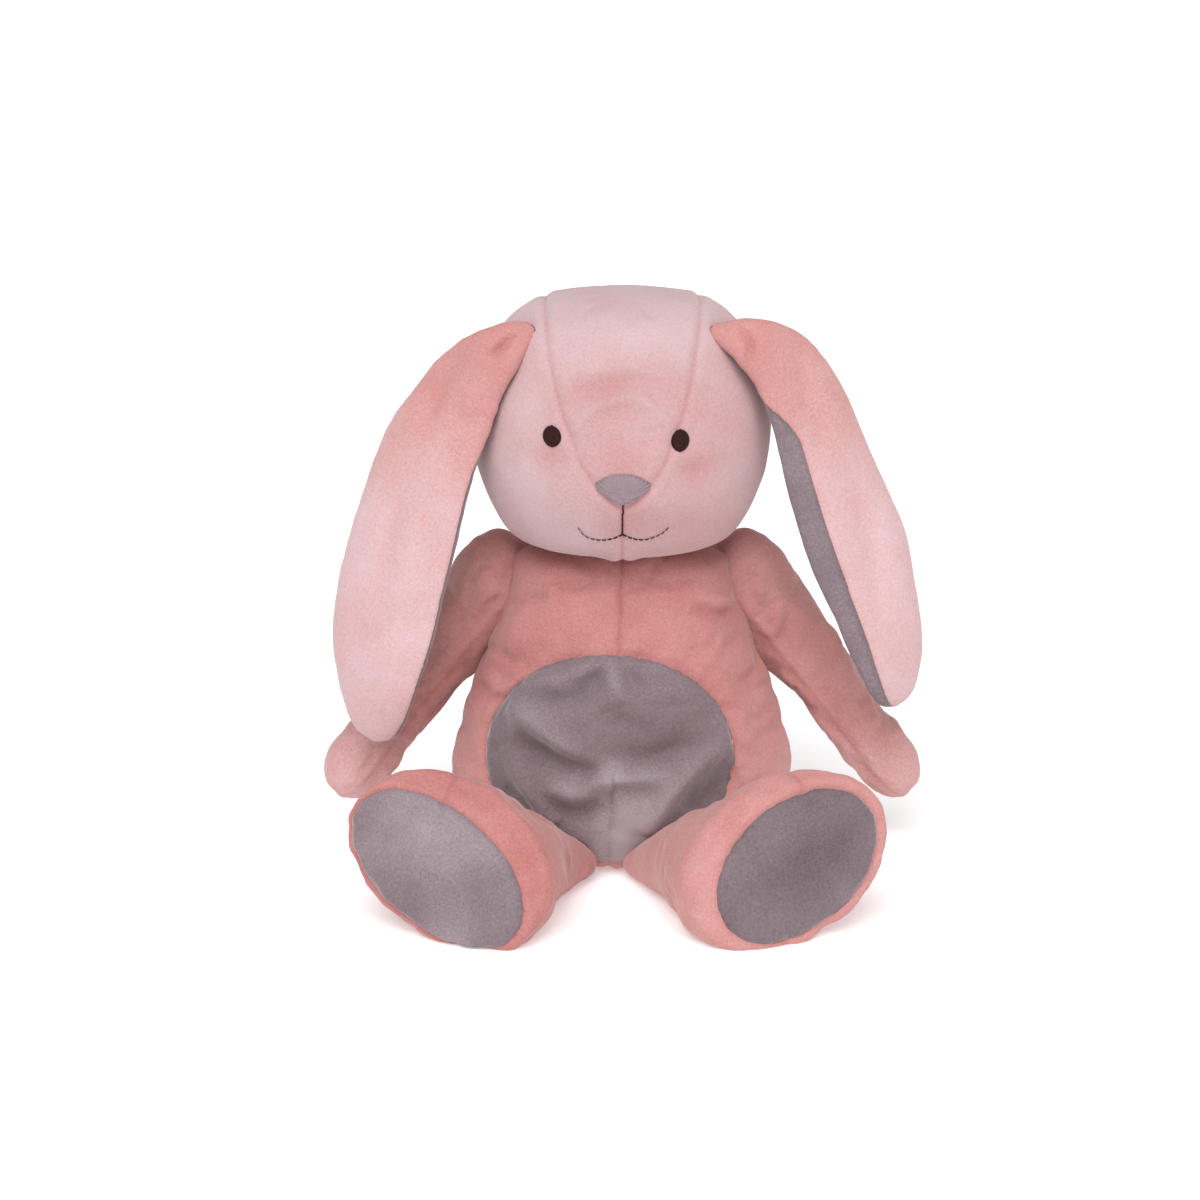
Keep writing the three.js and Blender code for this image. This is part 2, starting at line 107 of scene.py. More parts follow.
ARM = {
    "root": (55, 11, 129),
    "tip": {"left": (129, 5, 32), "right": (127.5, 5, 32)},
    "outline": [
        (0, -19), (14, -15), (19.5, 0), (18.5, 18), (16.5, 45), (16, 85), (16, 106), (14, 119),
        (8, 127), (0, 129),
    ],
    "upper_way": (1, 0, 1),
    "gathered_to": -8,
    "seam_turn": 20,           # degrees of the seam above the middle of the arm's front
    "bend": (6, 24),           # the span from before its joint to after it, worked out but not used to bend the cover
}
LEG = {
    "hip": (17, -46, 9.5),
    "sole": (78, -117, 36.3),
    "sole_normal": (0.3, -0.93, 0.2),
    "outline": [
        (0, -14), (5, -11.5), (10, 0), (18, 22), (27, 48), (33, 70), (35, 82), (33.5, 90), (20, 94.5),
        (0, 95),
    ],
    "length": 95,
    "sole_from": 89.5,         # where the sole is sewn on
    "turn_from": 10,
    "gathered_to": 30,
    "toe_angle": 34,
    "long_ratio": 1.36,        # how much longer than wide the foot is, at its sole
    "tuck": {"from": 78, "to": 91},            # the foot bulges above its sole
    "tuck_narrowing": {"left": 0.06, "right": 0.2},
    "tuck_drop": {"left": 1.5, "right": 3},
    "foot_shift": {"left": 0, "right": 6},
    "root_shift": {"left": -5, "right": 5},
    "bend": (4, 20),
}
EAR = {
    "spine": [
        (40, -37, 251), (55, -39, 246), (69, -35, 235), (81, -31, 210), (91.5, -31, 176),
        (103, -33, 140), (112, -36, 105), (117, -37, 68),
    ],
    "outline": [
        (0, -3), (3, -1.5), (6, 3), (12, 15), (18.5, 34), (23, 60), (26, 94), (28, 134), (26, 168),
        (20.5, 190), (11, 203), (0, 207),
    ],
    "across": (0.5, 0.45, 0.75),                                 # from the front edge to the back edge
    "thickness_ratio": 0.32,
    "root_thickness": 0.5,
    "root_length": 40,
    "seam_turn": {"left": 0.47, "right": 0.08},                  # how far the lining wraps forwards
    "root_turn": -0.1,                                           # and how far back it stays at the root
    "turn_over": (0.12, 0.34),                                   # between these shares of the length
    "tip_shift": {"left": (6, 0, 12), "right": (-6, 0, -4)},     # the two ears hang differently
    "narrowing": {"left": (0.08, 0.2), "right": (0.0, 0.0)},     # of the upper and of the lower part
    "bow": {"left": 0.8, "right": 0.9},                          # outwards, at the middle of the length
    "taper": (0.6, 0.78),                                        # shares where the lower part begins
    "droop": {"left": (0, 0, 0), "right": (-3, 0, -7)},          # of the shoulder, round this share:
    "droop_at": 0.2,
    "droop_spread": 0.15,
    "droop_from": 0.08,
    "lining_recess": 1.1,
    "recess_edge": 2,                                            # it deepens over this distance
    "recess_end": (0.9, 0.97),                                   # and runs out before the tip
    "bend": (4, 14),
}

FOLD_DEPTH = 1.8               # the folds' depths are all deepened by this
FOLD_PAINTED_LIGHT = 0.06              # painted light and shade: the pile is painted this much lighter per millimetre that a fold stands up, and darker per millimetre that it sinks
# Folds are [depth, width, path], where a ridge's depth is negative and the path's points are
# the (x, z) places of the fold seen from the front.
FACE_FOLDS = [
    (1.1, 3.5, [(-25, 222), (-14, 231), (1, 234), (16, 231), (25, 222)]),
    (-1.1, 2.6, [(-21, 211), (-14, 221), (-3, 226), (7, 226), (16, 221), (21, 212)]),
    (0.9, 2.0, [(10, 231), (15, 224), (19, 217)]),
    (0.6, 1.8, [(3, 214), (11, 212), (19, 214)]),
    (0.5, 1.8, [(4, 207), (11, 207.5), (18, 209)]),
]
FACE_DIMPLES = [                # (x, z), depth, radius: beside the eyes and where they are stitched
    ((-31.7, 199.5), 1.3, 7), ((31.5, 194.6), 1.5, 7), ((-30.4, 209.2), 0.9, 7), ((24.6, 207.9), 0.9, 7),
]
BELLY_FOLDS = [
    (-3.0, 5.5, [(-51, 80), (-40, 74), (-27, 66), (-11, 58)]),
    (2.4, 6.5, [(-48, 68), (-36, 61), (-23, 55), (-10, 55)]),
    (-2.6, 4.2, [(-36, 47), (-21, 43), (-8, 50), (6, 51.5), (24, 52)]),
    (2.0, 6.5, [(-12, 70), (5, 62), (20, 62), (40, 72)]),
    (-2.8, 5.0, [(49, 64), (36, 58), (26, 49), (16, 34), (12, 22)]),
    (2.0, 6.0, [(52, 50), (40, 42), (28, 34)]),
    (-2.2, 5.0, [(-53, 62), (-47, 52), (-40, 39), (-30, 26)]),
    (1.5, 6.0, [(-52, 44), (-46, 38), (-38, 31)]),
    (1.8, 5.0, [(-34, 37), (-20, 34), (-10, 40)]),
    (-1.7, 4.5, [(-44, 90), (-28, 93), (-15, 100), (-9, 108)]),
    (1.9, 4.5, [(-36, 83), (-22, 86), (-12, 93), (-9, 103)]),
    (-1.6, 4.5, [(-6, 104), (-3, 94), (0, 84)]),
    (1.3, 3.5, [(-3, 106), (3, 97), (9, 86)]),
    (1.6, 6.0, [(-16, 79), (-2, 76), (14, 72)]),
]
CHEST_FOLDS = [
    (1.7, 3.0, [(31, 124.6), (41, 120), (51, 117.7)]),
    (-1.1, 3.0, [(33, 130), (42, 126), (50, 123.5)]),
    (1.4, 3.0, [(-33, 130), (-42, 126), (-51, 120)]),
    (1.1, 3.0, [(-34, 138), (-22, 135), (-9, 138)]),
    (1.0, 2.6, [(10, 138), (22, 135), (33, 138)]),
    (1.0, 3.5, [(-66, 84), (-58, 80), (-50, 83)]),
    (1.0, 3.5, [(-59, 102), (-50, 98), (-42, 100)]),
    (1.0, 3.5, [(56, 108), (48, 105), (42, 98)]),
    (1.0, 3.5, [(63, 92), (54, 88), (47, 91)]),
    (0.9, 3.0, [(69, 74), (62, 70), (56, 73)]),
]
ARM_FOLDS = {
    "left": [
        (1.3, 3.0, [(60, 134), (63, 127), (62, 119)]),
        (1.2, 3.0, [(70, 120), (71, 111), (67, 103)]),
        (1.2, 3.0, [(54, 128), (57, 120), (61, 113)]),
        (0.8, 4.0, [(86, 86), (92, 88), (98, 86)]),
    ],
    "right": [
        (1.6, 3.0, [(-52, 136), (-60, 134), (-67, 128)]),
        (1.5, 3.0, [(-54, 128), (-61, 124), (-68, 115)]),
        (1.1, 3.0, [(-70, 106), (-74, 98), (-80, 96)]),
        (1.0, 3.0, [(-79, 100), (-82, 92), (-84, 84)]),
    ],
}
EAR_FOLDS = {
    "left": [
        (2.0, 2.4, [(51, 254), (55, 246), (53, 238)]),
        (0.9, 5.0, [(76, 243), (80, 222), (90, 196)]),
        (0.9, 6.0, [(98, 190), (108, 160), (114, 130)]),
    ],
    "right": [
        (2.0, 2.4, [(-47, 251), (-53, 245), (-58, 241)]),
        (0.9, 5.0, [(-70, 243), (-80, 224), (-88, 200)]),
        (0.8, 6.0, [(-98, 180), (-104, 150), (-108, 120)]),
    ],
}

# ---------------------------------------------------------------- curves and meshes


def smooth_curve(points, spacing):
    """Evenly spaced points along a centripetal Catmull-Rom curve through the given ones."""
    p = np.array(points, float)
    p = np.vstack([2 * p[0] - p[1], p, 2 * p[-1] - p[-2]])
    dense = []
    for a, b, c, d in zip(p, p[1:], p[2:], p[3:]):
        knots = np.cumsum([0] + [math.sqrt(np.linalg.norm(v)) + TINY for v in (b - a, c - b, d - c)])
        t = np.linspace(knots[1], knots[2], CURVE_STEPS, endpoint=False)[:, None]
        ab = (a * (knots[1] - t) + b * (t - knots[0])) / (knots[1] - knots[0])
        bc = (b * (knots[2] - t) + c * (t - knots[1])) / (knots[2] - knots[1])
        cd = (c * (knots[3] - t) + d * (t - knots[2])) / (knots[3] - knots[2])
        abc = (ab * (knots[2] - t) + bc * (t - knots[0])) / (knots[2] - knots[0])
        bcd = (bc * (knots[3] - t) + cd * (t - knots[1])) / (knots[3] - knots[1])
        dense.append((abc * (knots[2] - t) + bcd * (t - knots[1])) / (knots[2] - knots[1]))
    dense = np.vstack(dense + [p[-2:-1]])
    travelled = np.concatenate([[0], np.cumsum(np.linalg.norm(np.diff(dense, axis=0), axis=1))])
    count = max(4, round(travelled[-1] / spacing))
    wanted = np.linspace(0, travelled[-1], count + 1)
    return np.stack([np.interp(wanted, travelled, column) for column in dense.T], axis=1)


def unit(v):
    v = np.asarray(v, float)
    return v / np.linalg.norm(v, axis=-1, keepdims=True)


def smooth_step(value, low, high):
    t = np.clip((value - low) / (high - low), 0, 1)
    return t * t * (3 - 2 * t)


def turned_form(outline, place, spacing=GRID):
    """A closed mesh turned about Z from its half outline, whose points place then moves."""
    profile = smooth_curve(outline, spacing)[1:-1]
    sides = 4 * max(4, round(2 * math.pi * profile[:, 0].max() / spacing / 4))
    angles = 2 * math.pi * np.arange(sides) / sides
    rings = [np.stack([r * np.cos(angles), r * np.sin(angles), np.full(sides, z)], 1) for r, z in profile]
    ends = np.array([(0, 0, outline[0][1]), (0, 0, outline[-1][1])], float)
    points = place(np.vstack(rings + [ends])) * MM
    bm = bmesh.new()
    verts = [bm.verts.new(p) for p in points]
    low, high = verts[-2:]
    for side in range(sides):
        after = (side + 1) % sides
        for row in range(len(profile) - 1):
            here, up = row * sides, (row + 1) * sides
            bm.faces.new([verts[here + side], verts[here + after], verts[up + after], verts[up + side]])
        top = (len(profile) - 1) * sides
        bm.faces.new([low, verts[after], verts[side]])
        bm.faces.new([high, verts[top + side], verts[top + after]])
    return bm


def point_array(items):
    return np.array([v.co for v in items], float).reshape(-1, 3)


def cut_along(bm, field, where=None):
    """Adds edges to the mesh where field, a signed distance, is zero. Gives points along them."""
    value = dict(zip(bm.verts, field(point_array(bm.verts) / MM)))
    for edge in bm.edges:
        a, b = edge.verts
        if value[a] * value[b] < 0:
            share = value[a] / (value[a] - value[b])
            near, far, part = (a, b, share) if share < 0.5 else (b, a, 1 - share)
            if part < SNAP:
                near.co = near.co.lerp(far.co, part)
                value[near] = 0.0
    on_seam = {v for v in bm.verts if value[v] == 0}
    for edge in [e for e in bm.edges if value[e.verts[0]] * value[e.verts[1]] < 0]:
        a, b = edge.verts
        share = value[a] / (value[a] - value[b])
        on_seam.add(bmesh.utils.edge_split(edge, a, share)[1])
    for face in list(bm.faces):
        marked = [v for v in face.verts if v in on_seam]
        if len(marked) == 2 and not any(set(e.verts) == set(marked) for e in face.edges):
            bmesh.utils.face_split(face, *marked)
    seam = [e for e in bm.edges if e.verts[0] in on_seam and e.verts[1] in on_seam]
    ends = np.array([[e.verts[0].co, e.verts[1].co] for e in seam], float).reshape(-1, 2, 3)
    if where is not None:
        ends = ends[where(ends.mean(axis=1) / MM)]
    shares = np.linspace(0, 1, SEAM_SAMPLES)[:, None, None]
    return (ends[:, 0] * (1 - shares) + ends[:, 1] * shares).reshape(-1, 3)


def evaluated(obj):
    """The object's mesh with its modifiers applied, which replaces the plain one."""
    depsgraph = bpy.context.evaluated_depsgraph_get()
    mesh = bpy.data.meshes.new_from_object(obj.evaluated_get(depsgraph))
    obj.modifiers.clear()
    obj.data = mesh
    return obj


def object_from(name, bm):
    mesh = bpy.data.meshes.new(name)
    bm.normal_update()
    bm.to_mesh(mesh)
    bm.free()
    obj = bpy.data.objects.new(name, mesh)
    bpy.context.scene.collection.objects.link(obj)
    return obj


def subdivided(obj, levels=1):
    modifier = obj.modifiers.new("smooth", "SUBSURF")
    modifier.levels = levels
    return evaluated(obj)


def coordinates(mesh):
    flat = np.zeros(len(mesh.vertices) * 3)
    mesh.vertices.foreach_get("co", flat)
    return flat.reshape(-1, 3)


def normals(mesh):
    flat = np.zeros(len(mesh.vertices) * 3)
    mesh.vertex_normals.foreach_get("vector", flat)
    return flat.reshape(-1, 3)


def move_out(obj, amounts):
    """Moves each point along its normal by its own amount in millimetres."""
    mesh = obj.data
    moved = coordinates(mesh) + normals(mesh) * (np.asarray(amounts) * MM)[:, None]
    mesh.vertices.foreach_set("co", moved.ravel())
    mesh.update()


def distance_to(points, targets):
    """How far each point is from the nearest target, in millimetres, and which that is."""
    tree = KDTree(len(targets))
    for index, target in enumerate(targets):
        tree.insert(target, index)
    tree.balance()
    found = [tree.find(p) for p in points]
    return np.array([f[2] for f in found]) / MM, np.array([f[1] for f in found])


def lumps(points, size, seed=0.0):
    """Smooth noise from -1 to 1 whose lumps are about size millimetres across."""
    shift = Vector((seed, 2 * seed, -seed))
    return np.array([noise.noise(Vector(p) / (size * MM) + shift) for p in points])


# ---------------------------------------------------------------- sewing and folding

SIM = {"frames": 20, "pressure": 8, "held_within": 0.5}      # the last is a distance from a seam
SEAM = {
    "shadow_width": 0.9,
    "gather": 5,               # size of the gathers along a seam
    "swell": 0.35,             # the cloth swells beside a seam, as a share of the seam's depth
    "swell_at": 2.5,           # and that far from it, in widths of the seam
    "swell_width": 1.5,
}
SLACK = {"lump": 24, "small_lump": 9, "small_share": 0.35, "small_seed": 5}     # lumps in the filling
FOLD_REACH = 4                 # a fold moves no point further away than this many widths
FOLD_TAPER = 0.6               # below 1, a fold keeps its depth nearly to its ends
IN_FRONT = -300                # a place further forwards than any part of the bunny


def filled_out(obj, seam, ease, cap, gathered=None):
    """Settles the cloth on its filling by simulation. The cloth was cut larger than its form by the
    share ease, and its seams hold it in, as the floor does. No point moves further than cap
    millimetres. gathered says which points are gathered tight, and stay where they are."""
    start = coordinates(obj.data)
    away, _ = distance_to(start, seam)
    held = (away < SIM["held_within"]) | (start[:, 2] < MM)
    if gathered is not None:
        held |= gathered(start / MM)
    obj.vertex_groups.new(name="held").add([int(i) for i in np.flatnonzero(held)], 1.0, "REPLACE")
    cloth = obj.modifiers.new("cloth", "CLOTH")
    cloth.collision_settings.use_collision = False
    settings = cloth.settings
    settings.vertex_group_mass = "held"
    settings.use_pressure = True
    settings.uniform_pressure_force = SIM["pressure"]
    settings.shrink_min = -ease
    settings.effector_weights.gravity = 0
    for step in range(1, SIM["frames"] + 1):
        bpy.context.scene.frame_set(step)
    depsgraph = bpy.context.evaluated_depsgraph_get()
    moves = coordinates(obj.evaluated_get(depsgraph).data) - start
    obj.modifiers.clear()
    obj.vertex_groups.clear()
    bpy.context.scene.frame_set(1)
    lengths = np.linalg.norm(moves, axis=1, keepdims=True)
    moves *= np.minimum(1, cap * MM / np.maximum(lengths, TINY))
    obj.data.vertices.foreach_set("co", (start + moves).ravel())
    obj.data.update()


def sew(obj, seam, depth=1.3, width=1.6, pucker=0.7, reach=7.0, shadow=0.35):
    """Draws the cloth in along a seam, with small gathers that run away from it."""
    away, nearest = distance_to(coordinates(obj.data), seam)
    shade(obj, -shadow * np.exp(-((away / SEAM["shadow_width"]) ** 2)))
    groove = -depth * np.exp(-away / width)
    gathers = pucker * lumps(seam[nearest], SEAM["gather"]) * np.exp(-((away / reach) ** 2))
    beside = (away - SEAM["swell_at"] * width) / (SEAM["swell_width"] * width)
    swell = SEAM["swell"] * depth * np.exp(-(beside**2))
    move_out(obj, groove + swell + gathers)


def shade(obj, amounts):
    """Makes the pile lighter, or darker where amounts are negative: its own tone, and painted light and
    shade.
    """
    marks = obj.data.attributes.get("nap_and_painted_light") or obj.data.attributes.new("nap_and_painted_light", "FLOAT", "POINT")
    before = np.zeros(len(obj.data.vertices))
    marks.data.foreach_get("value", before)
    marks.data.foreach_set("value", before + amounts)


def slacken(obj, seed, amount=0.9):
    """Gives taut cloth the slight unevenness of the stuffing under it."""
    points = coordinates(obj.data)
    large = amount * lumps(points, SLACK["lump"], seed)
    small = SLACK["small_share"] * amount * lumps(points, SLACK["small_lump"], seed + SLACK["small_seed"])
    move_out(obj, large + small)


def surface_tree(obj):
    mesh = obj.data
    return BVHTree.FromPolygons(
        [v.co for v in mesh.vertices], [tuple(p.vertices) for p in mesh.polygons]
    )


def on_front(tree, x, z):
    """The point of a surface straight in front of the bunny at x and z, and its normal."""
    start = Vector((x, IN_FRONT, z)) * MM
    point, normal, _, _ = tree.ray_cast(start, Vector((0, 1, 0)))
    return point, normal


def fold(obj, depth, width, path, tree):
    """Presses a valley into the cloth along a path, or raises a ridge if depth is negative, and paints a
    painted highlight along a ridge and painted shade along a valley.
    """
    found = [on_front(tree, x, z)[0] for x, z in path]
    line = smooth_curve([tuple(p / MM) for p in found if p is not None], FINE)
    points = coordinates(obj.data) / MM
    within = np.ptp(line, axis=0).max() + FOLD_REACH * width
    near = np.linalg.norm(points - line.mean(axis=0), axis=1) < within
    gaps = np.linalg.norm(points[near][:, None] - line[None], axis=2)
    share = gaps.argmin(axis=1) / (len(line) - 1)
    amounts = np.zeros(len(points))
    profile = np.exp(-((gaps.min(axis=1) / width) ** 2))
    amounts[near] = -depth * profile * np.sin(np.pi * share) ** FOLD_TAPER
    move_out(obj, amounts)
    # painted light and shade: ridges painted lighter, valleys painted darker
    shade(obj, FOLD_PAINTED_LIGHT * amounts)


def press_folds(obj, folds):
    tree = surface_tree(obj)
    for depth, width, path in folds:
        fold(obj, FOLD_DEPTH * depth, width, path, tree)


def dimple(obj, place, depth, radius, tree):
    middle = np.array(on_front(tree, *place)[0])
    away = np.linalg.norm(coordinates(obj.data) - middle, axis=1) / MM
    move_out(obj, -depth * np.exp(-((away / radius) ** 2)))


# ---------------------------------------------------------------- materials

PLUSH = {
    "roughness": 0.95,
    "specular": 0.12,
    "sheen_roughness": 0.42,
    "sheen_tint": (1.0, 0.93, 0.93, 1.0),
    "brushed": {"scale": 45.0, "detail": 3.0, "share": 0.8},     # wide patches that a hand has brushed
    "grain": {"scale": 1000.0, "detail": 2.0, "roughness": 0.7, "share": 1.4},
    "clumps": {"scale": 520.0, "detail": 3.0},
    "grain_height": 0.7,
    "darken": 0.6,
    "bump": (0.6, 0.0005),                                       # strength and depth in metres
}
THREAD = {"specular": 0.25, "scale": 1800, "dark": 0.7, "bright": 1.3, "bump": (0.4, 0.0002)}


def srgb(red, green, blue):
    """A colour given as 0 to 255 screen values."""
    parts = [c / 255 for c in (red, green, blue)]
    return tuple(((c + 0.055) / 1.055) ** 2.4 if c > 0.04 else c / 12.92 for c in parts) + (1.0,)


def plush_material(name, deep, light, palest, sheen):
    """Short brushed pile: soft light and dark patches, a fine grain and a pale sheen."""
    material = bpy.data.materials.new(name)
    material.use_nodes = True
    nodes, links = material.node_tree.nodes, material.node_tree.links
    shader = nodes["Principled BSDF"]
    shader.inputs["Roughness"].default_value = PLUSH["roughness"]
    shader.inputs["Specular IOR Level"].default_value = PLUSH["specular"]
    shader.inputs["Sheen Weight"].default_value = sheen
    shader.inputs["Sheen Roughness"].default_value = PLUSH["sheen_roughness"]
    shader.inputs["Sheen Tint"].default_value = PLUSH["sheen_tint"]
    place = nodes.new("ShaderNodeTexCoord")

    def noise_of(kind):
        texture = nodes.new("ShaderNodeTexNoise")
        texture.inputs["Scale"].default_value = kind["scale"]
        texture.inputs["Detail"].default_value = kind["detail"]
        texture.inputs["Roughness"].default_value = kind.get("roughness", 0.5)
        links.new(place.outputs["Object"], texture.inputs["Vector"])
        return texture.outputs["Fac"]

    def combined(operation, a, b):
        node = nodes.new("ShaderNodeMath")
        node.operation = operation
        for socket, value in zip(node.inputs, (a, b)):
            if isinstance(value, float):
                socket.default_value = value
            else:
                links.new(value, socket)
        return node.outputs[0]

    brushed = noise_of(PLUSH["brushed"])
    grain = noise_of(PLUSH["grain"])
    # the pile's tone, together with painted light and shade from folds, seams and spots
    nap_and_painted_light = nodes.new("ShaderNodeAttribute")
    nap_and_painted_light.attribute_name = "nap_and_painted_light"
    wide = combined("MULTIPLY", brushed, PLUSH["brushed"]["share"])
    fine = combined("MULTIPLY", grain, PLUSH["grain"]["share"])
    patches = combined("SUBTRACT", combined("ADD", wide, fine), PLUSH["darken"])
    share = combined("ADD", patches, nap_and_painted_light.outputs["Fac"])
    ramp = nodes.new("ShaderNodeValToRGB")
    ramp.color_ramp.elements[0].color = deep
    ramp.color_ramp.elements[1].color = palest
    middle = ramp.color_ramp.elements.new(0.5)
    middle.color = light
    links.new(combined("MULTIPLY", share, 0.5), ramp.inputs["Fac"])
    links.new(ramp.outputs["Color"], shader.inputs["Base Color"])
    height = combined("ADD", combined("MULTIPLY", grain, PLUSH["grain_height"]), noise_of(PLUSH["clumps"]))
    bump = nodes.new("ShaderNodeBump")
    bump.inputs["Strength"].default_value, bump.inputs["Distance"].default_value = PLUSH["bump"]
    links.new(height, bump.inputs["Height"])
    links.new(bump.outputs["Normal"], shader.inputs["Normal"])
    return material


def thread_material(name, colour, roughness=0.6, sheen=0.3):
    """Twisted thread, in darker and brighter strands."""
    material = bpy.data.materials.new(name)
    material.use_nodes = True
    nodes, links = material.node_tree.nodes, material.node_tree.links
    shader = nodes["Principled BSDF"]
    shader.inputs["Roughness"].default_value = roughness
    shader.inputs["Sheen Weight"].default_value = sheen
    shader.inputs["Specular IOR Level"].default_value = THREAD["specular"]
    place = nodes.new("ShaderNodeTexCoord")
    texture = nodes.new("ShaderNodeTexNoise")
    texture.inputs["Scale"].default_value = THREAD["scale"]
    links.new(place.outputs["Object"], texture.inputs["Vector"])
    ramp = nodes.new("ShaderNodeValToRGB")
    ramp.color_ramp.elements[0].color = tuple(c * THREAD["dark"] for c in colour[:3]) + (1.0,)
    ramp.color_ramp.elements[1].color = tuple(min(1, c * THREAD["bright"]) for c in colour[:3]) + (1.0,)
    links.new(texture.outputs["Fac"], ramp.inputs["Fac"])
    links.new(ramp.outputs["Color"], shader.inputs["Base Color"])
    bump = nodes.new("ShaderNodeBump")
    bump.inputs["Strength"].default_value, bump.inputs["Distance"].default_value = THREAD["bump"]
    links.new(texture.outputs["Fac"], bump.inputs["Height"])
    links.new(bump.outputs["Normal"], shader.inputs["Normal"])
    return material


MATERIALS = {
    "pink_plush": plush_material(
        "pink_plush", srgb(172, 106, 102), srgb(196, 141, 137), srgb(209, 182, 186), 0.35
    ),
    "pale_pink_plush": plush_material(
        "pale_pink_plush", srgb(186, 134, 134), srgb(198, 168, 170), srgb(206, 190, 196), 0.35
    ),
    "grey_plush": plush_material(
        "grey_plush", srgb(88, 75, 80), srgb(128, 113, 118), srgb(165, 153, 158), 0.7
    ),
    "nose_thread": thread_material("nose_thread", srgb(148, 128, 135)),
    "face_thread": thread_material("face_thread", srgb(46, 10, 7), sheen=0.02),
}


def finish_piece(obj, slot, nodes, body=None, nap_and_painted_light=None):
    """Gives a piece its material and its smooth faces, hides the frame's parts that it covers, and gives it
    its body.
    """
    mesh = obj.data
    mesh.materials.clear()
    mesh.materials.append(MATERIALS[slot])
    mesh.polygons.foreach_set("use_smooth", [True] * len(mesh.polygons))
    mesh.polygons.foreach_set("material_index", [0] * len(mesh.polygons))
    if nap_and_painted_light is not None:
        shade(obj, nap_and_painted_light(coordinates(mesh) / MM))
    if nodes:
        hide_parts(*nodes)
    if body:
        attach(obj, body)


SHARP_ANGLE = math.radians(60)                                   # a cloth's cut edge stays crisp


def panels_of(obj, names):
    """Splits a cover by its faces' material numbers into closed cloths of their own."""
    made = []
    for index, name in enumerate(names):
        bm = bmesh.new()
        bm.from_mesh(obj.data)
        bmesh.ops.delete(bm, geom=[f for f in bm.faces if f.material_index != index], context="FACES")
        panel = object_from(name, bm)
        thicken = panel.modifiers.new("cloth", "SOLIDIFY")
        thicken.thickness = CLOTH * MM
        thicken.offset = -1
        evaluated(panel).data.set_sharp_from_angle(angle=SHARP_ANGLE)
        made.append(panel)
    bpy.data.objects.remove(obj)
    return made


def assign_panels(bm, field):
    """Numbers the faces by the side of a seam that they are on: 1 where field is negative."""
    centres = np.array([f.calc_center_median() for f in bm.faces], float) / MM
    for face, value in zip(bm.faces, field(centres)):
        face.material_index = int(value < 0)


# ---------------------------------------------------------------- shades of the pile: its tone, and painted light and shade

# The pile's tone, with its painted light and shade, is a base value, a rise with height, and soft round
# spots on the front, which are [(x, z), radius, amount]. A positive amount is paler.
HEAD_TONE_AND_PAINTED_LIGHT = {
    "base": 0.1,
    "rise": (0.45, 225, 260),
    "spots": [
        ((-31, 200), 7, -0.55), ((31, 196), 8, -0.6),                             # painted shade in the dimples beside the eyes
        ((-3, 230), 13, -0.35), ((0, 198), 11, -0.45), ((0, 176), 12, -0.25),     # darker at the brow, painted shade in the fold over the muzzle, and at the bridge and muzzle
        ((-46, 184), 20, 0.5), ((45, 184), 20, 0.1), ((-20, 160), 16, 0.45),      # painted highlights on the cheeks, stronger on the bunny's right, and on the chin against the shade under it
        # painted light on the brow, where the ear's shadow falls
        ((-46, 222), 14, 0.3),
    ],
}
BELLY_TONE_AND_PAINTED_LIGHT = {
    "base": 0.45,
    "spots": [
        ((-4, 54), 7, 0.6), ((-22, 47), 7, 0.3), ((12, 53), 7, 0.3),              # lit ridges
        ((-38, 66), 10, -0.25), ((12, 69), 13, -0.2), ((-54, 42), 11, -0.3),      # shaded hollows
        # painted shade in another hollow, and a painted highlight low on the patch
        ((40, 40), 11, -0.3), ((4, 22), 19, 1.3),
    ],
}
TORSO_TONE = {"base": 0.45, "rise": (-0.35, 40, 95)}      # paler low down, growing darker from 40 mm up to 95 mm high
# painted light: the arms are painted paler against the shade they turn down into under the ears, and grow
# darker from 45 mm up to 75 mm high
ARM_TONE_AND_PAINTED_LIGHT = {"base": 0.75, "rise": (-0.35, 45, 75)}
# painted light: the bunny's left leg is painted paler and its right leg darker, as light falls on each
LEG_PAINTED_LIGHT = {"left": {"base": 0.35}, "right": {"base": -0.1}}
EAR_NAP = {"base": 0.4, "gain": 0.75, "from": 0.05, "to": 0.6}       # along the length, as shares of it
LINING_NAP = {"base": 0.5}
SOLE_PAINTED_LIGHT = {"left": 0.12, "right": 0.55}                 # painted light: the two soles are painted in different shades, as light falls on each
SOLE_MOTTLE = (0.45, 30)                                 # amount, and size in millimetres


def pile(kind):
    """A function that gives the pile's tone, with its painted light and shade, at each point."""

    def nap_and_painted_light(p):
        shades = np.full(len(p), float(kind["base"]))
        if "rise" in kind:
            amount, low, high = kind["rise"]
            shades += amount * smooth_step(p[:, 2], low, high)
        for (x, z), radius, amount in kind.get("spots", []):
            away = ((p[:, 0] - x) ** 2 + (p[:, 2] - z) ** 2) / radius**2
            shades += amount * np.exp(-away) * (p[:, 1] < 0)
        return shades

    return nap_and_painted_light


# ---------------------------------------------------------------- head


def place_head(p):
    x, y, z = p.T
    muzzle = HEAD["muzzle"]
    facing = np.maximum(0, -y / HEAD["half_width"])
    spread = (x / muzzle["spread_x"]) ** 2 + ((z - muzzle["height"]) / muzzle["spread_z"]) ** 2
    depth = y * HEAD["half_depth"] / HEAD["half_width"] - muzzle["reach"] * facing * np.exp(-spread)
    chin = HEAD["chin"]
    below = (x / chin["spread_x"]) ** 2 + ((z - chin["height"]) / chin["spread_z"]) ** 2
    return np.stack([x, depth + HEAD["centre_y"], z - chin["drop"] * facing * np.exp(-below)], 1)


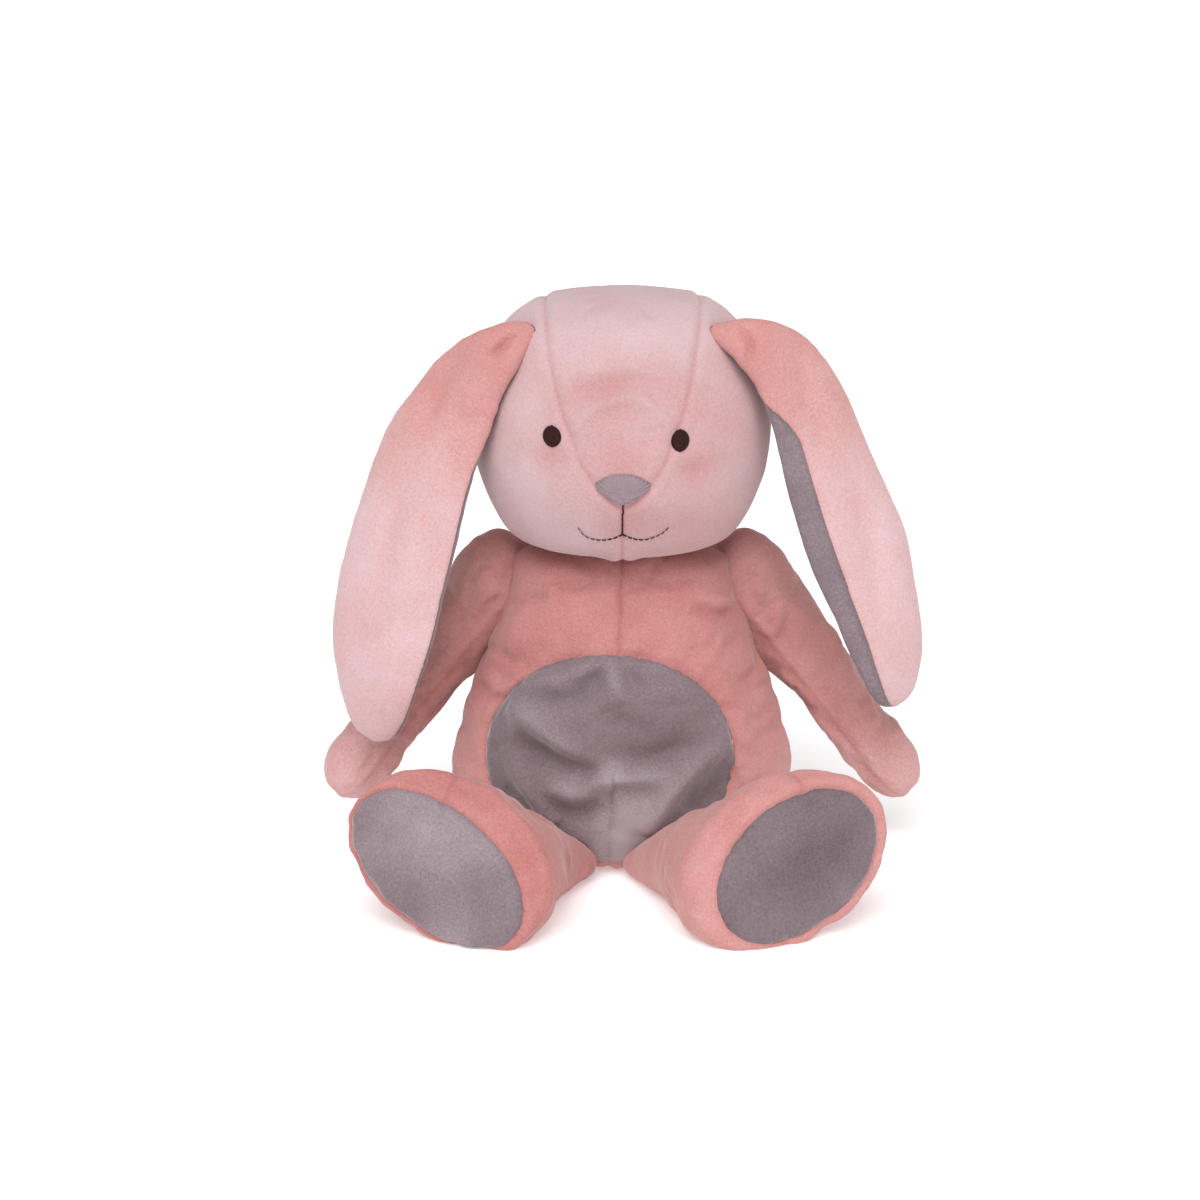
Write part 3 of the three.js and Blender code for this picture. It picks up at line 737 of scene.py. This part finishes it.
def gusset_field(p):
    """Signed distance across from the edge of the head's centre panel, negative inside it."""
    widths = []
    for points in (GUSSET_FRONT, GUSSET_BACK):
        curve = smooth_curve(points, FINE)
        widths.append(np.interp(p[:, 2], curve[:, 1], curve[:, 0]))
    return np.abs(p[:, 0]) - np.where(p[:, 1] < HEAD["centre_y"], *widths)


def make_head():
    bm = turned_form(HEAD["outline"], place_head)
    gusset = cut_along(bm, gusset_field)
    chin = cut_along(
        bm,
        lambda p: p[:, 0],
        lambda p: (p[:, 1] < HEAD["centre_y"]) & (p[:, 2] < CHIN_TOP),
    )
    seams = np.vstack([gusset, chin])
    head = object_from("head_cover", bm)
    filled_out(head, seams, ease=0.004, cap=1.2)
    subdivided(head)
    slacken(head, seed=1.0, amount=0.6)
    sew(head, seams, depth=1.0, pucker=0.25, shadow=0.42)
    press_folds(head, FACE_FOLDS)
    tree = surface_tree(head)
    for place, depth, radius in FACE_DIMPLES:
        dimple(head, place, depth, radius, tree)
    return head


head = make_head()
finish_piece(
    head,
    "pale_pink_plush",
    ["head_gusset_panel", "head_right_panel", "head_left_panel", "head_stuffing"],
    body="head",
    nap_and_painted_light=pile(HEAD_TONE_AND_PAINTED_LIGHT),
)

# ---------------------------------------------------------------- torso


def place_torso(p):
    x, y, z = p.T
    return np.stack([x, y * TORSO["depth_ratio"], np.maximum(z, 0)], 1)


def patch_field(p):
    """Signed distance from the belly patch's edge, negative inside it."""
    wide = (p[:, 0] - BELLY_PATCH["centre_x"]) / BELLY_PATCH["half_width"]
    high = (p[:, 2] - BELLY_PATCH["centre_z"]) / BELLY_PATCH["half_height"]
    inside = (np.hypot(wide, high) - 1) * BELLY_PATCH["half_height"]
    return np.where(p[:, 1] < 0, inside, np.maximum(inside, ELSEWHERE))


def centre_field(p):
    """Signed distance from the centre seam, which leans a little."""
    return p[:, 0] - TORSO["seam_lean"] * (1 - p[:, 2] / TORSO["outline"][-1][1])


def in_upper_patch(p):
    """The patch is one cloth above its middle and two, sewn together, below it."""
    return (patch_field(p) < -BELLY_PATCH["seam_margin"]) & (p[:, 2] > BELLY_PATCH["seam_top"])


def underneath(p):
    return p[:, 2] < SEAT_PANEL["below"]


def above_floor(p):
    return p[:, 2] > TORSO["flat_to"]


def seat_field(p):
    wide, deep = p[:, 0] / SEAT_PANEL["half_width"], p[:, 1] / SEAT_PANEL["half_depth"]
    inside = (np.hypot(wide, deep) - 1) * SEAT_PANEL["half_depth"]
    return np.where(underneath(p), inside, ELSEWHERE)


def on_floor(obj):
    """Keeps a piece's underside flat where it rests."""
    points = coordinates(obj.data)
    points[:, 2] = np.maximum(points[:, 2], 0)
    obj.data.vertices.foreach_set("co", points.ravel())
    obj.data.update()


def make_torso():
    bm = turned_form(TORSO["outline"], place_torso)
    patch = cut_along(bm, patch_field)
    centre = cut_along(bm, centre_field, lambda p: above_floor(p) & ~in_upper_patch(p))
    sides = cut_along(bm, lambda p: p[:, 1], above_floor)
    seat = cut_along(bm, seat_field, underneath)
    seams = np.vstack([patch, centre, sides, seat])
    assign_panels(bm, patch_field)
    torso = object_from("torso", bm)
    filled_out(torso, seams, ease=0.035, cap=3.5)
    subdivided(torso)
    slacken(torso, seed=2.0, amount=1.1)
    sew(torso, seams, depth=1.0, pucker=0.35)
    press_folds(torso, BELLY_FOLDS + CHEST_FOLDS)
    on_floor(torso)
    return panels_of(torso, ["torso_cover", "belly_patch"])


torso, belly = make_torso()
torso_nodes = [f"torso_{face}_{side}_panel" for face in ("front", "back") for side in ("left", "right")]
finish_piece(
    torso,
    "pink_plush",
    torso_nodes + ["seat_panel", "torso_stuffing", "pellet_bag", "seat_pellets"],
    body="torso",
    nap_and_painted_light=pile(TORSO_TONE),
)
finish_piece(
    belly,
    "grey_plush",
    ["belly_patch_left_panel", "belly_patch_right_panel"],
    body="torso",
    nap_and_painted_light=pile(BELLY_TONE_AND_PAINTED_LIGHT),
)

# ---------------------------------------------------------------- limbs


def mirror(points, side):
    """Points made for the left side, moved to the named side."""
    return np.asarray(points, float) * np.array([1 if side == "left" else -1, 1, 1])


def mirrored_object(obj):
    """Turns a left-hand piece into its right-hand twin."""
    mesh = obj.data
    mesh.vertices.foreach_set("co", (coordinates(mesh) * np.array([-1, 1, 1])).ravel())
    mesh.flip_normals()
    mesh.update()
    return obj


def across_joint(obj, root, along, bend, side):
    """Bakes a limb piece's place into its mesh. The span of a bend, from before the joint at its root to
    after it, is worked out but not used.
    """
    before, after = bend
    start, end = (mirror(root + along * reach, side) * MM for reach in (-before, after))
    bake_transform(obj)


def make_arm(side, seed):
    root, tip = np.array(ARM["root"], float), np.array(ARM["tip"][side], float)
    along = unit(tip - root)
    upper = unit(np.array(ARM["upper_way"]) - along * np.dot(ARM["upper_way"], along))
    front = np.cross(upper, along)
    turn = math.radians(ARM["seam_turn"])
    seam_normal = upper * math.cos(turn) - front * math.sin(turn)
    bm = turned_form(
        ARM["outline"],
        lambda p: root + p[:, :1] * upper + p[:, 1:2] * front + p[:, 2:] * along,
        LIMB_GRID,
    )
    seam = cut_along(bm, lambda p: (p - root) @ seam_normal)
    arm = object_from(f"{side}_arm_cover", bm)
    filled_out(
        arm, seam, ease=0.05, cap=2.5,
        gathered=lambda p: (p - root) @ along < ARM["gathered_to"],
    )
    subdivided(arm)
    slacken(arm, seed)
    sew(arm, seam, depth=0.8, pucker=0.6)
    if side == "right":
        mirrored_object(arm)
    press_folds(arm, ARM_FOLDS[side])
    nodes = [f"{side}_arm_{part}" for part in ("outer_panel", "inner_panel", "stuffing")]
    finish_piece(arm, "pink_plush", nodes, nap_and_painted_light=pile(ARM_TONE_AND_PAINTED_LIGHT))
    across_joint(arm, root, along, ARM["bend"], side)


def make_leg(side, seed):
    hip, sole_middle = np.array(LEG["hip"], float), np.array(LEG["sole"], float)
    along = unit(sole_middle - hip)
    toe = math.radians(LEG["toe_angle"])
    toe_way = np.array([math.cos(toe), 0, math.sin(toe)])
    sole_normal = unit(LEG["sole_normal"])

    def place(p):
        grown = smooth_step(p[:, 2:], LEG["turn_from"], LEG["length"] - LEG["turn_from"])
        normal = unit(along * (1 - grown) + np.array(LEG["sole_normal"]) * grown)
        long = unit(toe_way - normal * (normal @ toe_way)[:, None])
        short = np.cross(normal, long)
        tucked = smooth_step(p[:, 2:], LEG["tuck"]["from"], LEG["tuck"]["to"])
        wide = p[:, :1] * (1 + (LEG["long_ratio"] - 1) * grown)
        high = p[:, 1:2] * (1 - LEG["tuck_narrowing"][side] * tucked)
        outwards = LEG["root_shift"][side] * (1 - grown) + LEG["foot_shift"][side] * grown
        shift = outwards * np.array([1, 0, 0]) - tucked * np.array([0, 0, LEG["tuck_drop"][side]])
        return hip + along * p[:, 2:] + long * wide + short * high + shift

    seam_at = hip + (sole_middle - hip) * LEG["sole_from"] / LEG["length"]

    def sole_field(p):
        return -(p - seam_at) @ sole_normal

    outwards = unit(np.array([1.0, 0, 0]) - along * along[0])
    bm = turned_form(LEG["outline"], place, LIMB_GRID)
    rim = cut_along(bm, sole_field)
    lengthwise = cut_along(bm, lambda p: (p - hip) @ outwards, lambda p: sole_field(p) > 0)
    assign_panels(bm, sole_field)
    leg = object_from("leg", bm)
    filled_out(
        leg, np.vstack([rim, lengthwise]), ease=0.03, cap=2.2,
        gathered=lambda p: (p - hip) @ along < LEG["gathered_to"],
    )
    subdivided(leg)
    slacken(leg, seed)
    sew(leg, rim, depth=1.0, pucker=0.8, reach=13)
    sew(leg, lengthwise, depth=0.8, pucker=0.5)
    if side == "right":
        mirrored_object(leg)
    on_floor(leg)
    cover, sole = panels_of(leg, [f"{side}_leg_cover", f"{side}_leg_sole_cloth"])
    nodes = [f"{side}_leg_{part}" for part in ("outer_panel", "inner_panel", "stuffing")]
    finish_piece(cover, "pink_plush", nodes, nap_and_painted_light=pile(LEG_PAINTED_LIGHT[side]))
    across_joint(cover, hip, along, LEG["bend"], side)

    def sole_mottle_and_painted_light(p):
        # painted light for this sole, with random mottling
        amount, size = SOLE_MOTTLE
        return SOLE_PAINTED_LIGHT[side] + amount * lumps(p * MM, size, seed)

    finish_piece(
        sole, "grey_plush", [f"{side}_leg_sole"], body=f"{side}_leg", nap_and_painted_light=sole_mottle_and_painted_light
    )


make_arm("left", seed=3.0)
make_leg("left", seed=5.0)
make_arm("right", seed=4.0)
make_leg("right", seed=6.0)

# ---------------------------------------------------------------- ears


def make_ear(side, seed):
    spine = smooth_curve(EAR["spine"], FINE)
    steps = np.linspace(0, 1, len(spine))
    bowed = np.sin(np.pi * steps) ** 2
    drooped = np.exp(-(((steps - EAR["droop_at"]) / EAR["droop_spread"]) ** 2))
    drooped *= smooth_step(steps, 0, EAR["droop_from"])
    spine = spine + np.outer(steps**2, EAR["tip_shift"][side]) + np.outer(bowed, (EAR["bow"][side], 0, 0))
    spine = spine + np.outer(drooped, EAR["droop"][side])
    reach = EAR["outline"][-1][1]
    crosswise = np.array(EAR["across"])
    tangents = unit(np.gradient(spine, axis=0))
    wides = unit(crosswise - tangents * (tangents @ crosswise)[:, None])
    flats = np.cross(tangents, wides)

    def place(p):
        share = np.clip(p[:, 2] / reach, 0, 1)
        centre, tangent, wide, flat = (
            np.stack([np.interp(share, steps, column) for column in table.T], 1)
            for table in (spine, tangents, wides, flats)
        )
        grown = smooth_step(p[:, 2:], 0, EAR["root_length"])
        ratio = EAR["root_thickness"] + (EAR["thickness_ratio"] - EAR["root_thickness"]) * grown
        overrun = p[:, 2:] - share[:, None] * reach
        upper, lower = EAR["narrowing"][side]
        width = 1 - upper - (lower - upper) * smooth_step(share, *EAR["taper"])[:, None]
        return centre + tangent * overrun + wide * p[:, :1] * width + flat * p[:, 1:2] * ratio

    turned = smooth_step(steps, *EAR["turn_over"])[:, None]
    turn = EAR["root_turn"] * (1 - turned) + EAR["seam_turn"][side] * turned
    seam_normals = flats * np.cos(turn) + wides * np.sin(turn)

    def nearest_step(p):
        return distance_to(p * MM, spine * MM)[1]

    def rim_field(p):
        nearest = nearest_step(p)
        return np.einsum("ij,ij->i", p - spine[nearest], seam_normals[nearest])

    bm = turned_form(EAR["outline"], place, LIMB_GRID)
    rim = cut_along(bm, rim_field)
    assign_panels(bm, rim_field)
    ear = object_from("ear", bm)
    subdivided(ear)
    slacken(ear, seed, amount=0.7)
    points = coordinates(ear.data)
    away, _ = distance_to(points, rim)
    before_tip = 1 - smooth_step(steps[nearest_step(points / MM)], *EAR["recess_end"])
    on_lining = rim_field(points / MM) < 0
    recess = EAR["lining_recess"] * np.clip(away / EAR["recess_edge"], 0, 1) * on_lining
    move_out(ear, -recess * before_tip)
    sew(ear, rim, depth=0.1, pucker=0.35)
    if side == "right":
        mirrored_object(ear)
    press_folds(ear, EAR_FOLDS[side])
    outer, lining = panels_of(ear, [f"{side}_ear_outer_cloth", f"{side}_ear_lining_cloth"])

    def outer_nap(p):
        """The pile is paler towards the tip."""
        share = steps[nearest_step(mirror(p, side))]
        return EAR_NAP["base"] + EAR_NAP["gain"] * smooth_step(share, EAR_NAP["from"], EAR_NAP["to"])

    outer_nodes = [f"{side}_ear_outer_panel", f"{side}_ear_filling"]
    finish_piece(outer, "pink_plush", outer_nodes, nap_and_painted_light=outer_nap)
    finish_piece(lining, "grey_plush", [f"{side}_ear_lining"], nap_and_painted_light=pile(LINING_NAP))
    for piece in (outer, lining):
        across_joint(piece, spine[0], tangents[0], EAR["bend"], side)


make_ear("left", seed=7.0)
make_ear("right", seed=8.0)

# ---------------------------------------------------------------- neck and tail


BALL_OUTLINE = 9               # points in a ball's half outline


def make_ball(name, centre, radius, squeeze=1.0):
    turns = np.linspace(0, math.pi, BALL_OUTLINE)
    outline = [(radius * math.sin(a), -radius * math.cos(a)) for a in turns]
    form = turned_form(outline, lambda p: p * np.array([1, 1, squeeze]) + np.array(centre, float), LIMB_GRID)
    return subdivided(object_from(name, form))


neck = make_ball("neck_cover", NECK["centre"], NECK["radius"], NECK["squeeze"])
finish_piece(neck, "pink_plush", ["neck_stuffing"], body="neck")
tail = make_ball("tail_cover", TAIL["centre"], TAIL["radius"])
finish_piece(tail, "pink_plush", ["tail_panel", "tail_stuffing"], body="torso")

# ---------------------------------------------------------------- embroidery

EYES = {"right": (-30.4, 209.2), "left": (24.6, 207.9)}
EYE = {
    "half_width": 4.0,
    "half_height": 4.7,
    "stitches": 26,
    "points": 9,               # along each stitch
    "thread": 0.24,
    "lift": 0.1,
    "crown": 0.9,              # height of the padding under the stitches
    "narrowest": 0.02,         # of the first and last stitch, as a squared share of the width
}
NOSE = {
    "edge": [(0, 182), (4.3, 183.7), (9, 187.3), (12, 190.2), (9, 193), (4.7, 194.8), (0, 195.3)],
    "fan_from": (0, 184.5),
    "pitch": 0.62,
    "starts": (0.03, 0.22, 0.4),        # shares of the way to the edge, for every third thread
    "points": 8,
    "thread": 0.36,
    "crown": 1.3,
    "unevenness": 0.16,
}
MOUTH = {
    "down": [(0, 182.5), (0, 166.5)],
    "smile": [
        [(0, 166.5), (-5, 164.3), (-10.5, 163.5), (-16, 165), (-19.5, 169.5)],
        [(0, 166.5), (5, 164.3), (10, 163.6), (17, 166.3), (21, 170.5)],
    ],
    "stitch": 2.1,
    "gap": 0.7,                         # between the stitches of the smile
    "overlap": 0.3,                     # of those that go down
    "step": 0.25,
    "height": 0.5,
    "end_turn": 0.25,                   # how far into its arch a stitch starts, in radians
    "thread": 0.36,
    "thinning": 0.6,                    # of the thread, towards the ends of the smile
}
THREAD_SIDES = 6
THREAD_END = 0.45                       # a thread's end is this share of its size
AWAY = Vector((0, 1, 0.01))             # roughly out of the face, never along a thread


def threads(name, lines, radii):
    """One mesh of round threads, each along its own line of points and of its own radius."""
    bm = bmesh.new()
    for line, radius in zip(lines, radii):
        line = [Vector(p) for p in line]
        rings = []
        for index, point in enumerate(line):
            before, after = line[max(index - 1, 0)], line[min(index + 1, len(line) - 1)]
            tangent = (after - before).normalized()
            side = tangent.cross(AWAY).normalized()
            up = tangent.cross(side)
            end = index in (0, len(line) - 1)
            size = radius * MM * (THREAD_END if end else 1)
            turns = [2 * math.pi * k / THREAD_SIDES for k in range(THREAD_SIDES)]
            ring = [point + (side * math.cos(a) + up * math.sin(a)) * size for a in turns]
            rings.append([bm.verts.new(p) for p in ring])
        for ring, after in zip(rings, rings[1:]):
            for k in range(THREAD_SIDES):
                other = (k + 1) % THREAD_SIDES
                bm.faces.new([ring[k], ring[other], after[other], after[k]])
        bm.faces.new(rings[0][::-1])
        bm.faces.new(rings[-1])
    bmesh.ops.recalc_face_normals(bm, faces=bm.faces)
    return object_from(name, bm)


def lifted(tree, x, z, height):
    """The point that stands height millimetres above the surface at x and z."""
    point, normal = on_front(tree, x, z)
    return point + normal * height * MM


head_tree = surface_tree(head)


def make_eye(side):
    """Satin stitches across a padded oval."""
    x, z = EYES[side]
    lines = []
    for step in np.linspace(-1, 1, EYE["stitches"]):
        half = EYE["half_width"] * math.sqrt(max(EYE["narrowest"], 1 - step * step))
        line = []
        for t in np.linspace(-1, 1, EYE["points"]):
            crown = EYE["crown"] * math.sqrt(max(0, 1 - step * step)) * math.sqrt(1 - t * t)
            height = EYE["lift"] + crown
            line.append(lifted(head_tree, x + t * half, z + step * EYE["half_height"], height))
        lines.append(line)
    eye = threads(f"{side}_eye_embroidery", lines, [EYE["thread"]] * len(lines))
    finish_piece(eye, "face_thread", [f"{side}_eye"], body="head")


def make_nose():
    """Threads that fan out from low in the nose to every point of its edge."""
    lines = []
    right_edge = smooth_curve(NOSE["edge"], NOSE["pitch"])
    edge = np.vstack([right_edge, right_edge[1:-1] * np.array([-1, 1])])
    middle = np.array(NOSE["fan_from"], float)
    for index, end in enumerate(edge):
        layer = index % len(NOSE["starts"])
        line = []
        for t in np.linspace(NOSE["starts"][layer], 1, NOSE["points"]):
            x, z = middle + (end - middle) * t
            height = NOSE["unevenness"] * layer + NOSE["crown"] * math.sqrt(1 - t**3)
            line.append(lifted(head_tree, x, z, height))
        lines.append(line)
    nose = threads("nose_embroidery", lines, [NOSE["thread"]] * len(lines))
    finish_piece(nose, "nose_thread", ["nose"], body="head")


def make_mouth():
    """Running stitches: down from the nose, then out along a smile to both sides."""
    lines, radii = [], []
    for curve in [MOUTH["down"], *MOUTH["smile"]]:
        path = smooth_curve(curve, MOUTH["step"])
        smiling = curve is not MOUTH["down"]
        stitch = int(MOUTH["stitch"] / MOUTH["step"])
        pitch = stitch + int((MOUTH["gap"] if smiling else -MOUTH["overlap"]) / MOUTH["step"])
        for first in range(0, len(path) - stitch, pitch):
            part = path[first : first + stitch + 1]
            arch = np.linspace(MOUTH["end_turn"], math.pi - MOUTH["end_turn"], len(part))
            heights = MOUTH["height"] * np.sin(arch)
            lines.append([lifted(head_tree, x, z, h) for (x, z), h in zip(part, heights)])
            outwards = first / len(path) if smiling else 0
            radii.append(MOUTH["thread"] * (1 - MOUTH["thinning"] * outwards))
    mouth = threads("mouth_embroidery", lines, radii)
    finish_piece(mouth, "face_thread", ["mouth_stitching"], body="head")


make_eye("left")
make_eye("right")
make_nose()
make_mouth()

# ---------------------------------------------------------------- floor, light and camera

FLOOR = {"size": 16, "height": -0.0005, "colour": (0.9, 0.9, 0.9, 1), "glow": 0.3}
SUNS = {                                # direction, strength, softness in degrees
    "key": ((0.12, 0.7, -0.85), 2.5, 42),
    "fill": ((-0.7, 0.6, -0.5), 0.4, 60),
}
WHITE = (1, 1, 1, 1)
SKY_STRENGTH = 0.42
CAMERA = {"elevation": 16, "place": (-0.0098, -1.4103, 0.5236), "lens": 96.8}


def make_floor():
    bpy.ops.mesh.primitive_plane_add(size=FLOOR["size"], location=(0, 0, FLOOR["height"]))
    floor = bpy.context.object
    floor.name = "floor"
    material = bpy.data.materials.new("floor")
    material.use_nodes = True
    shader = material.node_tree.nodes["Principled BSDF"]
    shader.inputs["Base Color"].default_value = FLOOR["colour"]
    shader.inputs["Roughness"].default_value = 1
    shader.inputs["Specular IOR Level"].default_value = 0
    shader.inputs["Emission Color"].default_value = WHITE
    shader.inputs["Emission Strength"].default_value = FLOOR["glow"]
    floor.data.materials.append(material)


def make_sun(name, direction, strength, softness):
    """A soft distant light that shines along a direction."""
    light = bpy.data.lights.new(name, "SUN")
    light.energy = strength
    light.angle = math.radians(softness)
    lamp = bpy.data.objects.new(name, light)
    lamp.rotation_mode = "QUATERNION"
    lamp.rotation_quaternion = Vector(direction).to_track_quat("-Z", "Y")
    bpy.context.scene.collection.objects.link(lamp)


def make_studio():
    make_floor()
    for name, (direction, strength, softness) in SUNS.items():
        make_sun(name, direction, strength, softness)
    world = bpy.data.worlds.new("studio")
    world.use_nodes = True
    sky = world.node_tree.nodes["Background"]
    sky.inputs["Color"].default_value = WHITE
    sky.inputs["Strength"].default_value = SKY_STRENGTH
    bpy.context.scene.world = world
    bpy.context.scene.view_settings.view_transform = "Standard"


def make_camera():
    data = bpy.data.cameras.new("camera")
    data.lens = CAMERA["lens"]
    camera = bpy.data.objects.new("camera", data)
    camera.location = CAMERA["place"]
    camera.rotation_euler = (math.radians(90 - CAMERA["elevation"]), 0, 0)
    bpy.context.scene.collection.objects.link(camera)
    bpy.context.scene.camera = camera


make_studio()
make_camera()
